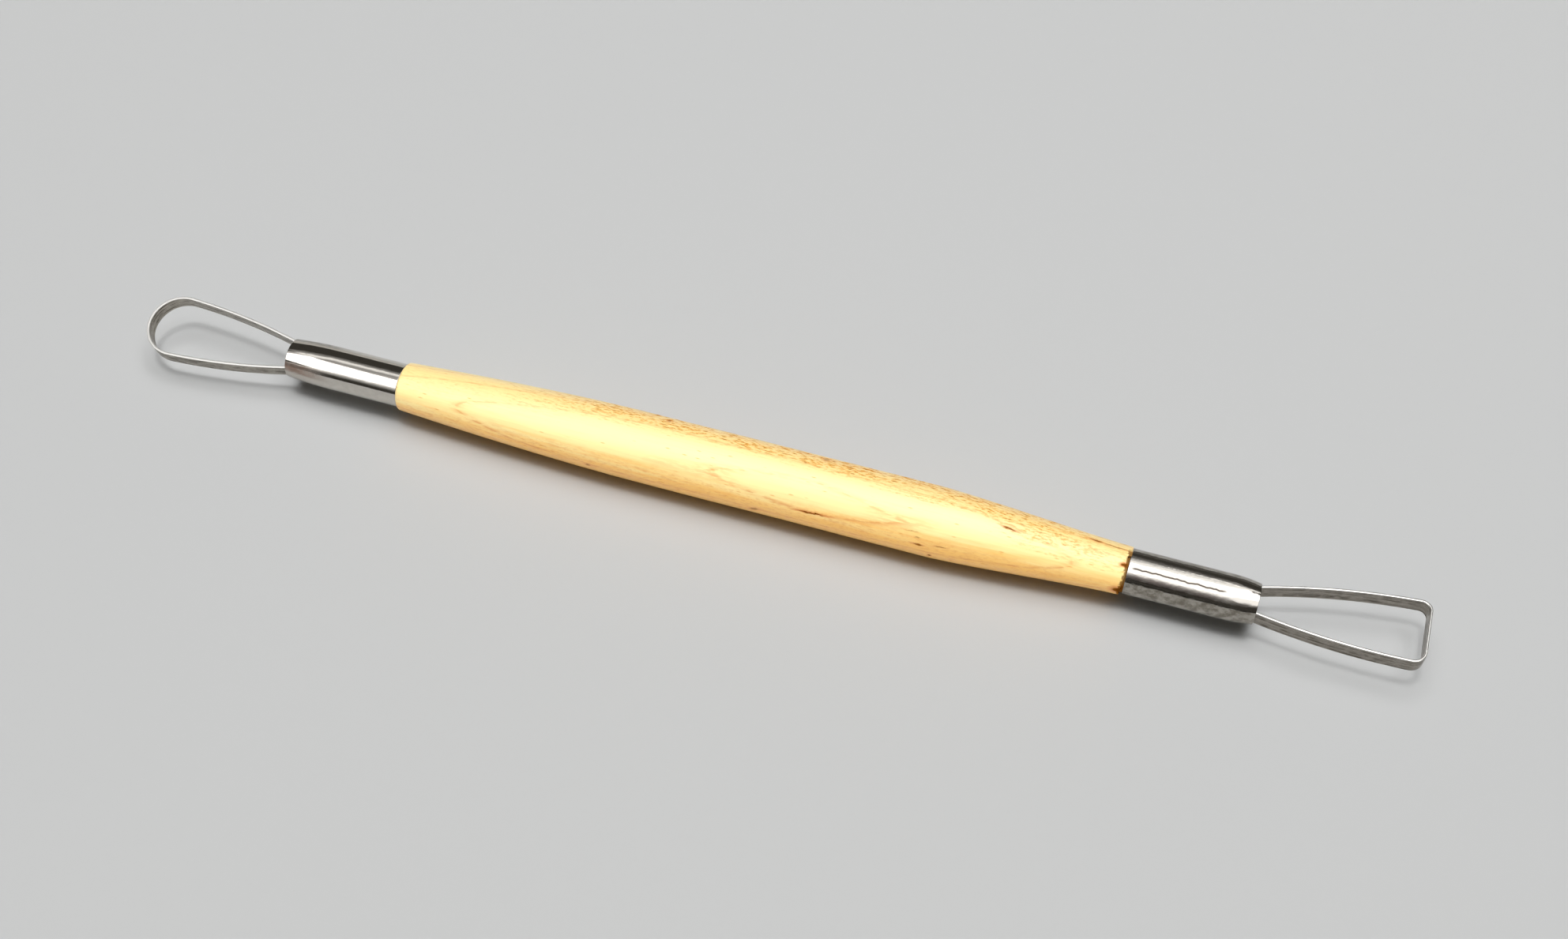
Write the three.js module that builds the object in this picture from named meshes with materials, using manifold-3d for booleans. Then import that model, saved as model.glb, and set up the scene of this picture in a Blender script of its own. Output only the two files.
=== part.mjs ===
// A double-ended ribbon tool for trimming and carving clay: a turned wooden handle with a steel
// ferrule on each end, a teardrop ribbon loop in one ferrule and a square loop in the other.
//
// Frame: +X runs along the handle towards the square loop, +Z is up, and the origin is the middle
// of the narrow flat under the handle's belly, on which the tool lies. Millimetres.
import * as THREE from "three";
import { mergeVertices } from "three/addons/utils/BufferGeometryUtils.js";
import Module from "manifold-3d";

const wasm = await Module();
wasm.setup();

// Handle
const bellyRadius = 5.45; // thickest stretch of the wood
const bellyLength = 48.4;
const teardropTaperLength = 38; // from the belly to the teardrop ferrule, a long barrel curve
const squareTaperLength = 29; // from the belly to the square ferrule, a shorter and straighter one
const teardropShoulderStep = 0.35; // how far the wood stands proud of its ferrule
const squareShoulderStep = 0.2;
const teardropShoulderBevel = 0.3;
const squareShoulderBevel = 0.12;
const barrelPower = 1.55; // 1 is a straight cone, more holds the belly's thickness for longer
const tenonChamfer = 0.3;

// Ferrules, thin steel tubes drawn in at the nose
const ferruleLength = 19.15;
const ferruleRadius = 3.5;
const ferruleWall = 0.22;
const noseRadius = 3.08;
const teardropNoseTaper = 7.7; // length over which the tube is drawn in
const squareNoseTaper = 4.4;

// Ribbons, one strip of spring steel each, bent on edge
const stripThickness = 0.42;
const stripWidth = 2.6;
const tailLength = 13; // length of strip held inside the ferrule
const teardropReach = 25.1; // from the ferrule's nose to the outside of the loop
const squareReach = 24.4;
const legBowRadius = 100; // the legs bow gently outwards
const teardropTipRadius = 5.05; // to the middle of the strip, as the other radii of the loops
const teardropRoll = 13; // degrees that the loop is turned about the handle, its +Y side up
const squareHalfWidth = 5.22;
const squareLean = 4.2; // degrees that the loop leans sideways, towards +Y
const squareFarCornerRadius = 1.4;
const squareNearCornerRadius = 1.9;

// Set cement that fills each nose
const bondLength = 6.8;
const bondRecess = 0.25; // how far its face lies inside the nose

const fit = 0.05; // clearance between pieces that fit in one another

// Counts of the faceting
const roundSides = 24; // a side, not an edge, lies lowest, so the belly has a flat to rest on
const taperRings = 14;
const noseRings = 6;
const legSteps = 12;
const tipSteps = 28;
const cornerSteps = 6;

// Worked out from the sizes above
const woodLength = teardropTaperLength + bellyLength + squareTaperLength;
const ferruleBore = ferruleRadius - ferruleWall;
const noseBore = noseRadius - ferruleWall;
const tenonRadius = ferruleBore - fit;
const tenonLength = ferruleLength - bondRecess - bondLength - fit;
const halfWidth = stripWidth / 2;
const halfThickness = stripThickness / 2;
// The tails stand as far apart as the nose's bore lets the strip's outer corners go.
const tailOffset = Math.sqrt((noseBore - fit) ** 2 - halfWidth ** 2) - halfThickness;
const tailInnerFace = tailOffset - halfThickness - fit;
const teardropDepth = teardropReach - halfThickness;
const squareDepth = squareReach - halfThickness;
const sharpRadius = 1 / Math.cos(Math.PI / roundSides); // edge over flat, on a body of many sides

const material = (name, color, roughness, metalness) =>
  new THREE.MeshStandardMaterial({ name, color, roughness, metalness });
const wood = material("lacquered birch", 0xe9b565, 0.45, 0);
const ferruleSteel = material("polished steel", 0xc9c6c1, 0.15, 1);
const ribbonSteel = material("ground spring steel", 0xa9a49c, 0.35, 1);
const cement = material("set cement", 0x6b5f50, 0.8, 0);

// Points [along, radius] of a profile turned about the X axis.
function turned(profile) {
  const points = profile.map(([along, radius]) => new THREE.Vector2(radius * sharpRadius, along));
  const shape = new THREE.LatheGeometry(points, roundSides, Math.PI / roundSides);
  return shape.rotateZ(-Math.PI / 2);
}

function solidOf(geometry) {
  const bare = geometry.clone();
  bare.deleteAttribute("normal");
  bare.deleteAttribute("uv");
  const merged = mergeVertices(bare, 1e-4);
  return new wasm.Manifold(
    new wasm.Mesh({
      numProp: 3,
      vertProperties: merged.attributes.position.array,
      triVerts: new Uint32Array(merged.index.array),
    }),
  );
}

function geometryOf(solid) {
  const mesh = solid.getMesh();
  const shape = new THREE.BufferGeometry();
  shape.setAttribute("position", new THREE.BufferAttribute(mesh.vertProperties, mesh.numProp));
  shape.setIndex(new THREE.BufferAttribute(mesh.triVerts, 1));
  shape.computeVertexNormals();
  return shape;
}

const smooth = (t) => t * t * (3 - 2 * t);
const barrelEase = (t) => t ** barrelPower;
const straightEase = (t) => (t + smooth(t)) / 2;

// One half of the handle's outline, from the belly out to the tip of the tenon: [along, radius],
// along counted from the belly's edge.
function handleEnd(taperLength, ease, step, bevel) {
  const shoulderRadius = ferruleRadius + step;
  const points = [];
  for (let i = 0; i <= taperRings; i++) {
    const t = i / taperRings;
    const along = t * (taperLength - bevel);
    points.push([along, bellyRadius - (bellyRadius - shoulderRadius) * ease(t)]);
  }
  points.push([taperLength, shoulderRadius - bevel]);
  points.push([taperLength, tenonRadius]);
  points.push([taperLength + tenonLength - tenonChamfer, tenonRadius]);
  points.push([taperLength + tenonLength, tenonRadius - tenonChamfer]);
  points.push([taperLength + tenonLength, 0]);
  return points;
}

// The open groove in a tenon that takes one tail of a ribbon. side is -1 for the teardrop end and
// 1 for the square end, and tail is -1 or 1 for the tail's side of the handle.
function tenonGroove(side, tail, roll) {
  const inner = ferruleLength - tailLength - fit; // from the shoulder to the tail's end
  const outer = tenonLength + fit;
  const depth = ferruleBore - tailInnerFace;
  const groove = new THREE.BoxGeometry(outer - inner, depth, stripWidth + 2 * fit);
  groove.translate(
    side * (woodLength / 2 + (inner + outer) / 2),
    tail * (tailInnerFace + depth / 2),
    0,
  );
  return groove.rotateX(roll);
}

function handleGeometry() {
  const teardropSide = handleEnd(
    teardropTaperLength,
    barrelEase,
    teardropShoulderStep,
    teardropShoulderBevel,
  );
  const squareSide = handleEnd(
    squareTaperLength,
    straightEase,
    squareShoulderStep,
    squareShoulderBevel,
  );
  const teardropBelly = teardropTaperLength - woodLength / 2;
  const squareBelly = woodLength / 2 - squareTaperLength;
  const profile = [
    ...teardropSide.map(([along, radius]) => [teardropBelly - along, radius]).reverse(),
    ...squareSide.map(([along, radius]) => [squareBelly + along, radius]),
  ];
  let body = solidOf(turned(profile));
  for (const tail of [-1, 1]) {
    body = body.subtract(solidOf(tenonGroove(-1, tail, THREE.MathUtils.degToRad(teardropRoll))));
    body = body.subtract(solidOf(tenonGroove(1, tail, 0)));
  }
  return geometryOf(body);
}

// Each end is drawn in its own frame, with +X out of the handle and X = 0 at the ferrule's nose.
function ferruleGeometry(noseTaper) {
  const outside = [[-ferruleLength, ferruleRadius]];
  for (let i = 0; i <= noseRings; i++) {
    const t = i / noseRings;
    outside.push([-noseTaper * (1 - t), ferruleRadius - (ferruleRadius - noseRadius) * t * t]);
  }
  const inside = outside.map(([along, radius]) => [along, radius - ferruleWall]).reverse();
  return turned([...outside, ...inside, outside[0]]);
}

// A plug of cement with a flat cheek beside each tail.
function bondGeometry() {
  const radius = noseBore - fit;
  const cheek = Math.asin(tailInnerFace / radius);
  const section = new THREE.Shape();
  section.absarc(0, 0, radius, Math.PI / 2 - cheek, Math.PI / 2 + cheek, false);
  section.absarc(0, 0, radius, (3 * Math.PI) / 2 - cheek, (3 * Math.PI) / 2 + cheek, false);
  section.closePath();
  const plug = new THREE.ExtrudeGeometry(section, {
    depth: bondLength,
    bevelEnabled: false,
    curveSegments: cornerSteps,
  });
  // The outline's X and Y become the plug's Y and Z, and its length runs back from the nose.
  plug.rotateX(Math.PI / 2).rotateZ(Math.PI / 2);
  return plug.translate(-bondRecess - bondLength, 0, 0);
}

function arc(centre, radius, from, to, steps) {
  const points = [];
  for (let i = 0; i <= steps; i++) {
    const angle = from + ((to - from) * i) / steps;
    points.push(
      new THREE.Vector2(
        centre.x + radius * Math.cos(angle),
        centre.y + radius * Math.sin(angle),
      ),
    );
  }
  return points;
}

const bearing = (centre, point) => Math.atan2(point.y - centre.y, point.x - centre.x);

// Centre of the circle of the leg's bow that passes the point start and keeps a given distance
// from the point end. It lies on the right of the way from start to end.
function bowCentre(start, end, distanceToEnd) {
  const way = end.clone().sub(start);
  const span = way.length();
  way.normalize();
  const along = (legBowRadius ** 2 - distanceToEnd ** 2 + span ** 2) / (2 * span);
  const across = Math.sqrt(legBowRadius ** 2 - along ** 2);
  return new THREE.Vector2(
    start.x + along * way.x + across * way.y,
    start.y + along * way.y - across * way.x,
  );
}

// Middle line of the teardrop's +Y half: a leg that runs without a corner into the round tip.
function teardropHalf() {
  const nose = new THREE.Vector2(0, tailOffset);
  const tip = new THREE.Vector2(teardropDepth - teardropTipRadius, 0);
  const bow = bowCentre(nose, tip, legBowRadius - teardropTipRadius);
  const meeting = bearing(bow, tip);
  return [
    ...arc(bow, legBowRadius, bearing(bow, nose), meeting, legSteps),
    ...arc(tip, teardropTipRadius, meeting, 0, tipSteps / 2).slice(1),
  ];
}

// Middle line of one half of the square loop: a leg, a rounded corner and half of the bar.
// It is drawn on the +Y side, with lean as the bar's shift towards that side.
function squareHalf(lean, cornerRadius) {
  const nose = new THREE.Vector2(0, tailOffset);
  const corner = new THREE.Vector2(squareDepth, squareHalfWidth + lean);
  const bow = bowCentre(nose, corner, legBowRadius);
  const reach = legBowRadius - cornerRadius;
  const along = squareDepth - cornerRadius - bow.x;
  const round = new THREE.Vector2(
    squareDepth - cornerRadius,
    bow.y + Math.sqrt(reach ** 2 - along ** 2),
  );
  const meeting = bearing(bow, round);
  return [
    ...arc(bow, legBowRadius, bearing(bow, nose), meeting, legSteps),
    ...arc(round, cornerRadius, meeting, 0, cornerSteps).slice(1),
  ];
}

// A strip on edge along a middle line in the XY plane, with mitred offsets to both sides.
function stripGeometry(line) {
  const left = [];
  const right = [];
  line.forEach((point, i) => {
    const before = line[Math.max(i - 1, 0)];
    const after = line[Math.min(i + 1, line.length - 1)];
    const arriving = point.clone().sub(i ? before : point).normalize();
    const leaving = after.clone().sub(point).normalize();
    const first = i ? arriving : leaving;
    const second = i < line.length - 1 ? leaving : arriving;
    const across = new THREE.Vector2(-first.y - second.y, first.x + second.x);
    across.multiplyScalar(halfThickness / (1 + first.dot(second)));
    left.push(point.clone().add(across));
    right.push(point.clone().sub(across));
  });
  const outline = new THREE.Shape([...left, ...right.reverse()]);
  const strip = new THREE.ExtrudeGeometry(outline, { depth: stripWidth, bevelEnabled: false });
  return strip.translate(0, 0, -halfWidth);
}

const mirrored = (points) => points.map((p) => new THREE.Vector2(p.x, -p.y)).reverse();
const tailEnd = (tail) => new THREE.Vector2(-tailLength, tail * tailOffset);

function teardropRibbonGeometry() {
  const half = teardropHalf();
  return stripGeometry([tailEnd(1), ...half, ...mirrored(half.slice(0, -1)), tailEnd(-1)]);
}

function squareRibbonGeometry() {
  const lean = squareDepth * Math.tan(THREE.MathUtils.degToRad(squareLean));
  const far = squareHalf(lean, squareFarCornerRadius);
  const near = squareHalf(-lean, squareNearCornerRadius);
  return stripGeometry([tailEnd(1), ...far, ...mirrored(near), tailEnd(-1)]);
}

function mesh(name, geometry, finish) {
  const made = new THREE.Mesh(geometry, finish);
  made.name = name;
  return made;
}

// Everything that one ferrule holds. The loop and the cement about its tails turn together.
function toolEnd(name, noseTaper, ribbonGeometry, roll) {
  const loop = new THREE.Group();
  loop.add(mesh(`${name}_ribbon`, ribbonGeometry, ribbonSteel));
  loop.add(mesh(`${name}_bond`, bondGeometry(), cement));
  loop.rotation.x = roll;
  const end = new THREE.Group();
  end.add(mesh(`${name}_ferrule`, ferruleGeometry(noseTaper), ferruleSteel), loop);
  return end;
}

const nosePlace = woodLength / 2 + ferruleLength;
// Turned end for end, a roll about the handle changes its sign.
const teardropEnd = toolEnd(
  "teardrop",
  teardropNoseTaper,
  teardropRibbonGeometry(),
  -THREE.MathUtils.degToRad(teardropRoll),
);
teardropEnd.position.x = -nosePlace;
teardropEnd.rotation.z = Math.PI;
const squareEnd = toolEnd("square", squareNoseTaper, squareRibbonGeometry(), 0);
squareEnd.position.x = nosePlace;

const tool = new THREE.Group();
tool.name = "ribbon_tool";
tool.add(mesh("handle", handleGeometry(), wood), teardropEnd, squareEnd);
tool.position.z = bellyRadius;

const part = new THREE.Group();
part.add(tool);
export default part;
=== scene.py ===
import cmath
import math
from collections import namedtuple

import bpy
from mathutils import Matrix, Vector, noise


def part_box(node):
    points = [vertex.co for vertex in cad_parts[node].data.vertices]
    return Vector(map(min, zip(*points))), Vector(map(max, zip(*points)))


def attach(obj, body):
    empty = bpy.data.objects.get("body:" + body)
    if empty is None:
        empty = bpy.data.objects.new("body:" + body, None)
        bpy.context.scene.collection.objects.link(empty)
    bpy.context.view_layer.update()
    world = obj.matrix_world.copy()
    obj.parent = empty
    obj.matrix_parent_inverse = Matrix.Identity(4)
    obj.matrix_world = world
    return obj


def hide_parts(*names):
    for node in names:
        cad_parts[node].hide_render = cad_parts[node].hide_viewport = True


bl_info = {
    "name": "Ribbon Tool",
    "version": (1, 0, 0),
    "blender": (4, 5, 0),
    "location": "3D View > Sidebar > Ribbon Tool",
    "description": "Dresses a packed double-ended ribbon tool: turned wood, steel ferrules and ribbons",
    "category": "Add Mesh",
}

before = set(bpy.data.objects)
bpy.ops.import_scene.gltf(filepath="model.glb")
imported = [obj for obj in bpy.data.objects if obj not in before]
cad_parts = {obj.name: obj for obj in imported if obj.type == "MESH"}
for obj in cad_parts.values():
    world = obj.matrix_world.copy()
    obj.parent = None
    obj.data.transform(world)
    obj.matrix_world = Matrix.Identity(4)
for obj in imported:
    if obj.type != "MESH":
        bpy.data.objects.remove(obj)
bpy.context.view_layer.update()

MM = 0.001

# What the frame gives: the tool's axis runs along X, and each end is named for its ribbon.
HANDLE_LOW, HANDLE_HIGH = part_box("handle")
AXIS_HEIGHT = (HANDLE_LOW.z + HANDLE_HIGH.z) / 2
BELLY_RADIUS = HANDLE_HIGH.z - AXIS_HEIGHT

End = namedtuple("End", "name side shoulder nose tip tenon radius")


def end_of(name, side):
    """Where one end's ferrule starts and stops, where its loop ends, and the ferrule's radius."""
    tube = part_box(f"{name}_ferrule")
    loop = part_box(f"{name}_ribbon")
    inner = 0 if side > 0 else 1
    outer = 1 - inner
    return End(
        name=name,
        side=side,
        shoulder=tube[inner].x,
        nose=tube[outer].x,
        tip=loop[outer].x,
        tenon=(HANDLE_LOW, HANDLE_HIGH)[outer].x,
        radius=(tube[1].z - tube[0].z) / 2,
    )


TEARDROP = end_of("teardrop", -1)
SQUARE = end_of("square", 1)
ENDS = (TEARDROP, SQUARE)


def linear(code):
    """Linear red, green, blue and full alpha of an sRGB hex colour."""
    channels = [int(code[i : i + 2], 16) / 255 for i in (0, 2, 4)]
    return [c / 12.92 if c <= 0.04045 else ((c + 0.055) / 1.055) ** 2.4 for c in channels] + [1]


def length(name, description, millimetres):
    """A property for a size, stored in metres."""
    return bpy.props.FloatProperty(
        name=name, description=description, default=millimetres * MM, subtype="DISTANCE", precision=5
    )


def angle(name, description, degrees):
    """A property for an angle, stored in radians."""
    return bpy.props.FloatProperty(
        name=name, description=description, default=math.radians(degrees), subtype="ANGLE"
    )


def colour(name, description, code):
    """A property for a colour, stored in linear values."""
    return bpy.props.FloatVectorProperty(
        name=name, description=description, default=linear(code), subtype="COLOR", size=4, min=0, max=1
    )


def number(name, description, default):
    """A property for a plain number."""
    return bpy.props.FloatProperty(name=name, description=description, default=default)


class HandleSizes(bpy.types.PropertyGroup):
    """Turned wooden handle."""

    teardrop_taper: length("Teardrop taper", "Stretch that thins towards the teardrop ferrule", 38)
    square_taper: length("Square taper", "Stretch that thins towards the square ferrule", 29)
    teardrop_step: length("Teardrop step", "Height of the wood over the teardrop ferrule", 0.35)
    square_step: length("Square step", "Height of the wood over the square ferrule", 0.2)
    bevel: length("Bevel", "Width of the bevel at the teardrop shoulder", 0.3)
    sanding: length("Sanding", "Depth of the waves that hand sanding leaves", 0.04)
    lip: length("Lip", "Splinter of wood that laps over the square ferrule", 0.12)
    gap: length("Gap", "Widest opening between the square shoulder and its ferrule", 0.45)
    fit: length("Fit", "Clearance of the tenons in the ferrules", 0.05)
    pale: colour("Early wood", "Straw yellow of the wood between the ring lines", "FFE8A0")
    # The outer wood colour also paints shade: the low near side, where less light falls, is drawn deeper
    # and more orange.
    deep_and_shade: colour("Outer wood", "Honey orange of the wood low down on the near side", "FFC45E")
    late: colour("Late wood", "Orange brown of ring lines", "E08C32")
    speckle: colour("Speckle", "Orange of the rings' ends where they are cut across", "DE9430")
    pores: colour("Pores", "Brown of single open pores among the speckle", "985818")
    # The stain also paints shade on the tenons and faces where they show in the gap at the shoulder.
    stain: colour("Stain", "Dark brown of pores, checks and scorched edges", "66380C")


class FerruleSizes(bpy.types.PropertyGroup):
    """Steel ferrules."""

    wall: length("Wall", "Thickness of the tube", 0.22)
    nose_radius: length("Nose radius", "Outer radius of the drawn-in nose", 3.08)
    teardrop_draw: length("Teardrop draw", "Length over which the teardrop nose is drawn in", 7.7)
    square_draw: length("Square draw", "Length over which the square nose is drawn in", 4.4)
    edge: length("Edge", "Rounding of the tube's cut ends", 0.06)
    steel: colour("Steel", "Polished stainless steel", "D8D3CB")
    brown: colour("Brown stain", "Old glue and heat stain at the teardrop nose", "857064")
    # Painted reflection: a brown violet band on the square ferrule that stands in for the warm room it
    # mirrors.
    painted_reflection: colour("Film", "Thin brown violet film above the square ferrule's dull side", "8E7472")
    scratch: colour("Scratch", "Dirt in the scratch on the square ferrule", "33281F")
    # The smear colour draws handling smudges, and also painted shade low on the near side and high on the
    # far side of the ferrules.
    smear_and_shade: colour("Smear", "Handling marks on the steel", "7E786D")


class RibbonSizes(bpy.types.PropertyGroup):
    """Spring steel ribbons."""

    thickness: length("Thickness", "Thickness of the strip", 0.42)
    width: length("Width", "Width of the strip", 2.6)
    edge: length("Edge", "Rounding of the strip's ground edges", 0.14)
    tail: length("Tail", "Length of strip inside the ferrule", 13)
    leg_bow: length("Leg bow", "Radius of the legs' outward bow", 100)
    tip_radius: length("Tip radius", "Teardrop's round end, to the middle of the strip", 5.05)
    roll: angle("Roll", "Turn of the teardrop loop about the handle", 13)
    half_width: length("Half width", "Half the square loop's bar", 5.214)
    lean: angle("Lean", "Sideways lean of the square loop", 4.2)
    far_corner: length("Far corner", "Radius of the square loop's sharper corner", 1.4)
    near_corner: length("Near corner", "Radius of the square loop's softer corner", 1.9)
    steel: colour("Steel", "Ground spring steel of the square loop", "9C968D")
    paler: colour("Paler steel", "Ground spring steel of the teardrop loop, which is cleaner", "B4AEA4")
    streak: colour("Streak", "Darker lines that grinding leaves", "5E574D")
    bright: colour("Bright edge", "Fresh metal of the ground edges", "FAF8F4")


class CementSizes(bpy.types.PropertyGroup):
    """Cement in the ferrules' noses."""

    depth: length("Depth", "Length of the plug of cement", 6.8)
    recess: length("Recess", "How far the cement's rim lies inside the nose", 0.25)
    hollow: length("Hollow", "How far the cement's middle has sunk", 0.35)
    paste: colour("Cement", "Set epoxy cement", "6E6254")


class StageSizes(bpy.types.PropertyGroup):
    """Camera, floor and lights."""

    lens: number("Lens", "Focal length in millimetres on a 36 mm wide sensor", 43.53)
    aim: bpy.props.FloatVectorProperty(
        name="Aim",
        description="Point of the floor in the middle of the picture",
        default=(2.956 * MM, 6.085 * MM, 0),
        subtype="TRANSLATION",
    )
    distance: length("Distance", "From the camera to the point it aims at", 296.08)
    pitch: angle("Pitch", "How steeply the camera looks down", 54.923)
    turn: angle("Turn", "Turn of the camera about the vertical", 17.276)
    floor: colour("Floor", "Pale grey board", "C0C1C1")
    room: colour("Room", "Dim room that the polished steel mirrors", "3E3C38")
    wall: colour("Wall", "Pale wall low down on the far side", "C0BFBB")
    lamp_height: length("Lamp height", "Height of the soft lamps over the floor", 1500)
    lamp: number("Lamp", "Brightness of the softbox overhead, which lights wood and floor", 3.3)
    glint: number("Glint", "Brightness of the middle reflector, which steel and lacquer mirror", 2.3)
    core: number("Core", "Light that the bright core of the softbox gives the floor", 0.42)
    fill: number("Fill", "Light that the low fill lamp gives a surface that faces it", 0.5)
    heading: angle("Heading", "Turn of the reflectors' long side from the tool", 42)


# Meshes


def arc(centre, radius, start, end, steps):
    """Complex points along an arc between two angles."""
    return [centre + cmath.rect(radius, start + (end - start) * i / steps) for i in range(steps + 1)]


def full_turn(count):
    """Evenly spaced angles all the way round."""
    return [2 * math.pi * i / count for i in range(count)]


def fillet(before, point, after, radius, steps, margin):
    """Points of the arc that rounds one corner, with one more on each side to keep the flats flat."""
    back = (before - point) / abs(before - point)
    ahead = (after - point) / abs(after - point)
    half = math.acos(max(-1, min(1, (back.conjugate() * ahead).real))) / 2
    reach = radius / math.tan(half)
    centre = point + (back + ahead) / abs(back + ahead) * radius / math.sin(half)
    start = point + back * reach
    end = point + ahead * reach
    first = cmath.phase(start - centre)
    turn = cmath.phase((end - centre) / (start - centre))
    bend = arc(centre, radius, first, first + turn, steps)
    return [start + back * margin, *bend, end + ahead * margin]


def softened(corners, steps=4, margin=0.02 * MM):
    """Closed outline of complex points. Each corner is (point, radius of its rounding)."""
    outline = []
    for i, (point, radius) in enumerate(corners):
        before = corners[i - 1][0]
        after = corners[(i + 1) % len(corners)][0]
        if radius:
            outline += fillet(before, point, after, radius, steps, margin)
        else:
            outline.append(point)
    return outline


def skin(name, rings, joined=False):
    """Closed mesh over rings of points. The last ring is joined to the first, or both get a cap."""
    count = len(rings[0])
    points = [p for ring in rings for p in ring]
    faces = []
    for i in range(len(rings) if joined else len(rings) - 1):
        here = i * count
        there = (i + 1) % len(rings) * count
        for j in range(count):
            k = (j + 1) % count
            faces.append((here + j, here + k, there + k, there + j))
    if not joined:
        faces.append(tuple(reversed(range(count))))
        faces.append(tuple(range(len(points) - count, len(points))))
    mesh = bpy.data.meshes.new(name)
    mesh.from_pydata(points, [], faces)
    piece = bpy.data.objects.new(name, mesh)
    bpy.context.scene.collection.objects.link(piece)
    face_out(piece)
    return piece


def face_out(piece):
    """Turns a closed mesh's faces outwards, if its volume comes out negative."""
    mesh = piece.data
    mesh.calc_loop_triangles()
    volume = 0
    for triangle in mesh.loop_triangles:
        a, b, c = (mesh.vertices[i].co for i in triangle.vertices)
        volume += a.dot(b.cross(c))
    if volume < 0:
        mesh.flip_normals()


def carved(piece, cutters):
    """Cuts boxes out of a piece. Each cutter is a list of rings of points."""
    for rings in cutters:
        cutter = skin("cutter", rings)
        cut = piece.modifiers.new("cut", "BOOLEAN")
        cut.operation = "DIFFERENCE"
        cut.solver = "EXACT"
        cut.object = cutter
        bpy.context.view_layer.update()
        graph = bpy.context.evaluated_depsgraph_get()
        mesh = bpy.data.meshes.new_from_object(piece.evaluated_get(graph))
        piece.modifiers.clear()
        old = piece.data
        piece.data = mesh
        bpy.data.meshes.remove(old)
        bpy.data.objects.remove(cutter)
    piece.data.name = piece.name
    return piece


def dressed(piece, node, material, sharp=40):
    """Smooths a piece, gives it its material and ties it to the frame."""
    piece.data.materials.clear()
    piece.data.materials.append(material)
    piece.data.shade_smooth()
    piece.data.set_sharp_from_angle(angle=math.radians(sharp))
    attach(piece, "root")
    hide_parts(node)
    return piece


def placed(end, roll, out, across, up):
    """A point of one end's own frame: out of the handle from the nose, across to +Y, and up."""
    return Vector((
        end.nose + end.side * out,
        across * math.cos(roll) - up * math.sin(roll),
        AXIS_HEIGHT + across * math.sin(roll) + up * math.cos(roll),
    ))


def around(x, radius, turn):
    """A point at an angle about the tool's axis, counted from the top towards the near side, -Y."""
    return Vector((x, -radius * math.sin(turn), AXIS_HEIGHT + radius * math.cos(turn)))


def roll_of(end):
    """Turn of an end's loop about the handle. Only the teardrop loop is turned."""
    return bpy.context.scene.ribbon_tool_ribbons.roll if end is TEARDROP else 0


def tail_offset():
    """How far each tail's middle lies from the axis: its outer corners touch the nose's bore."""
    tube = bpy.context.scene.ribbon_tool_ferrules
    strip = bpy.context.scene.ribbon_tool_ribbons
    fit = bpy.context.scene.ribbon_tool_handle.fit
    bore = tube.nose_radius - tube.wall - fit
    return math.sqrt(bore**2 - (strip.width / 2) ** 2) - strip.thickness / 2


def tail_cutters(end, inner, outer, clearance, depth):
    """Boxes round an end's two tails, from inner to outer along the tool, to cut their grooves.
    depth is how far outwards from the tail's middle a box reaches."""
    strip = bpy.context.scene.ribbon_tool_ribbons
    roll = roll_of(end)
    half = strip.width / 2 + clearance
    near = tail_offset() - strip.thickness / 2 - clearance
    far = tail_offset() + depth
    cutters = []
    for tail in (-1, 1):
        section = [(near, -half), (far, -half), (far, half), (near, half)]
        cutters.append([
            [placed(end, roll, out, tail * across, up) for across, up in section]
            for out in (inner, outer)
        ])
    return cutters


# Handle


def smooth(t):
    """A share from 0 to 1 that starts and ends softly."""
    return t * t * (3 - 2 * t)


def ramp(value, start, end):
    """0 at start, 1 at end and smooth in between."""
    return smooth(max(0, min(1, (value - start) / (end - start))))


# How slowly the long taper to the teardrop end sets in.
BARREL_POWER = 1.55

# Waves of hand sanding: their length along the handle, how uneven they are round it, and how far
# they reach towards the full depth of the sanding.
SANDING_WAVE = 14 * MM
SANDING_ROUND = 1.3
SANDING_STRENGTH = 1.6

# Broken corners of tenons and faces, the thin edge of the wood at a shoulder, the sharp edge of the
# lip, and the roughness of the shoulder that broke.
CORNER = 0.05 * MM
THIN = 0.02 * MM
SHARP = 0.004 * MM
RAGGED = 0.03 * MM

# Points of the rounded bevel: how far along it and how far down, in shares of its width.
BEVEL_CURVE = ((0.5, 0.38), (0.9, 0.06))

# Stretch in front of the square shoulder over which the rings come to follow its uneven end.
UNEVEN_STRETCH = 1.2 * MM

# Angles in degrees from the top towards the near side, from where to where each thing sets in or
# fades out at the square shoulder: the lip over the ferrule, and the gap, which is wide where the
# lip broke off and again low down. Elsewhere the gap has the least share of its width.
LIP_STARTS = (-92, -80)
LIP_ENDS = (-5, -2)
GAP_CLOSES = (-3, 20)
LOW_GAP_OPENS = (35, 95)
LOW_GAP_CLOSES = (120, 175)
LEAST_GAP = 0.2

# How far a cutter reaches past the piece that it cuts.
PAST = MM


def barrel(x):
    """Radius of the wood: full in the belly, with a long barrel curve to the teardrop end and a
    straighter one to the square end."""
    sizes = bpy.context.scene.ribbon_tool_handle
    to_teardrop = (TEARDROP.shoulder + sizes.teardrop_taper - x) / sizes.teardrop_taper
    to_square = (x - SQUARE.shoulder + sizes.square_taper) / sizes.square_taper
    if to_teardrop > 0:
        end = TEARDROP.radius + sizes.teardrop_step
        share = min(to_teardrop, 1) ** BARREL_POWER
    elif to_square > 0:
        end = SQUARE.radius + sizes.square_step
        t = min(to_square, 1)
        share = (t + smooth(t)) / 2
    else:
        return BELLY_RADIUS
    return BELLY_RADIUS - (BELLY_RADIUS - end) * share


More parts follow.
